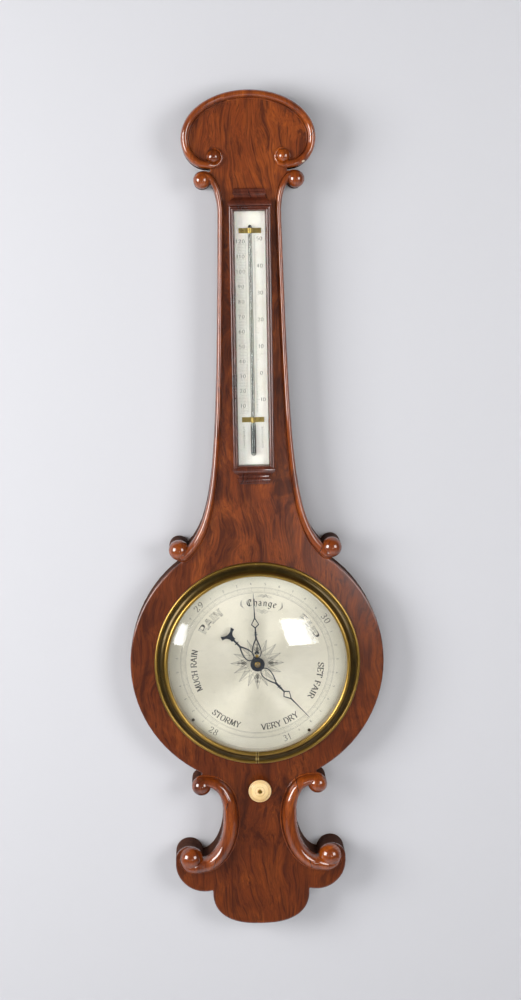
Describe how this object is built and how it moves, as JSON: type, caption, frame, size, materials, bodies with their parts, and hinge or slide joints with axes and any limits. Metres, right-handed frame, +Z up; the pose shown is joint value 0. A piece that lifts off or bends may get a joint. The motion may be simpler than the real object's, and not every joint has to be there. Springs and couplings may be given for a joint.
{
  "type": "wheel barometer",
  "caption": "Wall wheel barometer in a scroll-carved case: glazed dial with set hand and knob, boxed thermometer, siphon tube with float and pulley, and a hinged back door.",
  "frame": {"origin": "centre of the hanging hole, at the back face of the hanging plate, in the wall plane", "axes": "+X to the right seen from the front, +Z up along the case, +Y back into the wall, so the front faces -Y"},
  "size_m": [0.294, 0.0532, 0.966],
  "materials": {
    "rosewood": "varnished veneer",
    "carved_rosewood": "varnished",
    "dark_rosewood": "varnished",
    "pine": "bare",
    "brass": "lacquered, tarnished",
    "silvered_brass": "silvered, satin",
    "blued_steel": "blued",
    "steel": "plain",
    "glass": "clear",
    "mercury": "liquid",
    "bone": "polished",
    "silk": "twisted"
  },
  "bodies": {
    "case": {"front_panel": "rosewood", "crest_scroll": "carved_rosewood", "side_scroll_right": "carved_rosewood", "side_scroll_left": "carved_rosewood", "lower_scroll_right": "carved_rosewood", "lower_scroll_left": "carved_rosewood", "thermometer_frame": "dark_rosewood", "thermometer_top_moulding": "dark_rosewood", "thermometer_bottom_moulding": "dark_rosewood", "case_body": "pine", "tube_blocks": "pine", "thermometer_clips": "brass", "scale_pins": "brass", "dial_screws": "brass", "dial_bush": "brass", "bezel": "brass", "glass_ring": "brass", "bezel_pin": "brass", "movement_cock": "brass", "tube_straps": "brass", "hanging_plate": "brass", "hinge_plates": "brass", "rod_brackets": "brass", "knob_bush": "brass", "dial_plate": "silvered_brass", "cock_screws": "steel", "hanging_screws": "steel", "hinge_pins": "steel", "button_screw": "steel", "thermometer_glass": "glass", "thermometer_tube": "glass", "bezel_glass": "glass", "siphon_tube": "glass", "counterweight_tube": "glass", "thermometer_mercury": "mercury", "mercury_column": "mercury", "thermometer_scale": "bone"},
    "indicator": {"indicator_hand": "blued_steel", "indicator_arbor": "steel", "pulley_wheel": "brass", "pulley_thread": "silk"},
    "set_hand_group": {"set_hand": "blued_steel", "set_hand_pipe": "brass", "set_hand_wheel": "brass"},
    "rod_group": {"set_rod": "brass", "rod_pinions": "brass"},
    "knob_group": {"bone_knob": "bone", "knob_spindle": "brass", "knob_wheel": "brass"},
    "float_group": {"float": "glass", "float_thread": "silk", "mercury_open": "mercury"},
    "counterweight_group": {"counterweight": "glass", "counterweight_thread": "silk"},
    "mercury_head": {"mercury_top": "mercury"},
    "door": {"back_door": "pine", "door_hinge_leaves": "brass"},
    "button": {"turn_button": "brass"}
  },
  "joints": [
    {"name": "indicator_turn", "type": "hinge", "parent": "case", "child": "indicator", "pos_m": [0, -0.0408, -0.6255], "axis": [0, 1, 0], "range_deg": [-283.8, 22.4]},
    {"name": "float_slide", "type": "slide", "parent": "case", "child": "float_group", "axis": [0, 0, 1], "range_m": [-0.003, 0.0356], "deforming": ["float_thread", "mercury_open"]},
    {"name": "counterweight_slide", "type": "slide", "parent": "case", "child": "counterweight_group", "axis": [0, 0, 1], "range_m": [-0.0356, 0.003], "deforming": ["counterweight_thread"]},
    {"name": "mercury_top_slide", "type": "slide", "parent": "case", "child": "mercury_head", "axis": [0, 0, 1], "range_m": [-0.0356, 0.003], "deforming": ["mercury_top"]},
    {"name": "set_hand_turn", "type": "hinge", "parent": "case", "child": "set_hand_group", "pos_m": [0, -0.0385, -0.6255], "axis": [0, 1, 0], "continuous": true},
    {"name": "knob_turn", "type": "hinge", "parent": "case", "child": "knob_group", "pos_m": [0, -0.045, -0.774], "axis": [0, 1, 0], "continuous": true},
    {"name": "rod_spin", "type": "hinge", "parent": "case", "child": "rod_group", "pos_m": [0, -0.02024, -0.7], "axis": [0, 0, 1], "continuous": true},
    {"name": "door_hinge", "type": "hinge", "parent": "case", "child": "door", "pos_m": [-0.0268, -0.002, -0.6255], "axis": [0, 0, 1], "range_deg": [0, 95]},
    {"name": "button_turn", "type": "hinge", "parent": "case", "child": "button", "pos_m": [0.0331, -0.001, -0.4685], "axis": [0, -1, 0], "range_deg": [0, 90]}
  ],
  "couplings": [
    {"joint": "float_slide", "follows": "indicator_turn", "m_per_rad": -0.007127},
    {"joint": "counterweight_slide", "follows": "indicator_turn", "m_per_rad": 0.007127},
    {"joint": "mercury_top_slide", "follows": "indicator_turn", "m_per_rad": 0.007127},
    {"joint": "knob_turn", "follows": "set_hand_turn", "ratio": -1},
    {"joint": "rod_spin", "follows": "set_hand_turn", "ratio": -2}
  ]
}
